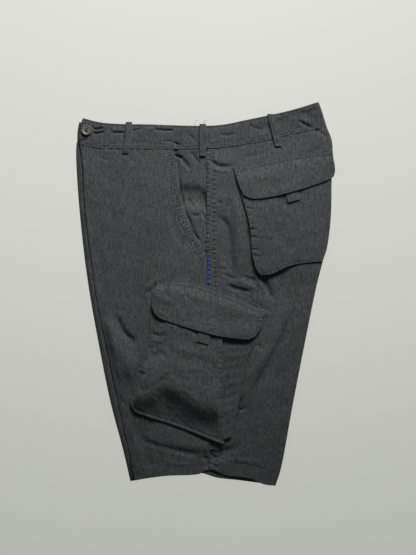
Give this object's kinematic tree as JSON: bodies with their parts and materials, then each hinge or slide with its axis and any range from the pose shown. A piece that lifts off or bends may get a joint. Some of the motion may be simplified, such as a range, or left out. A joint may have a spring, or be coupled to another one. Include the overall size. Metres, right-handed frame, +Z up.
{
  "type": "cargo shorts, folded in half and laid flat",
  "caption": "Grey melange cargo shorts folded in half and lying flat, with flapped back and cargo pockets, belt loops and a buttoned waistband.",
  "frame": {"origin": "on the resting surface, under the middle of the outline", "axes": "+Y from the hem to the waistband, +X from the front fold to the back fold, +Z up from the surface"},
  "size_m": [0.4228, 0.6259, 0.0268],
  "materials": {
    "cloth": "dark grey melange twill, matt",
    "button": "grey horn look, satin"
  },
  "bodies": {
    "root": {"front_panel": "cloth", "back_panel": "cloth", "folded_layers": "cloth", "waistband_left": "cloth", "waistband_right": "cloth", "pocket_facing": "cloth", "back_pocket": "cloth", "back_gusset": "cloth", "back_flap": "cloth", "back_tab": "cloth", "cargo_pocket": "cloth", "cargo_gusset": "cloth", "cargo_flap": "cloth", "cargo_tab": "cloth", "belt_loop_front": "cloth", "belt_loop_side": "cloth", "belt_loop_back": "cloth", "button": "button"}
  },
  "joints": []
}
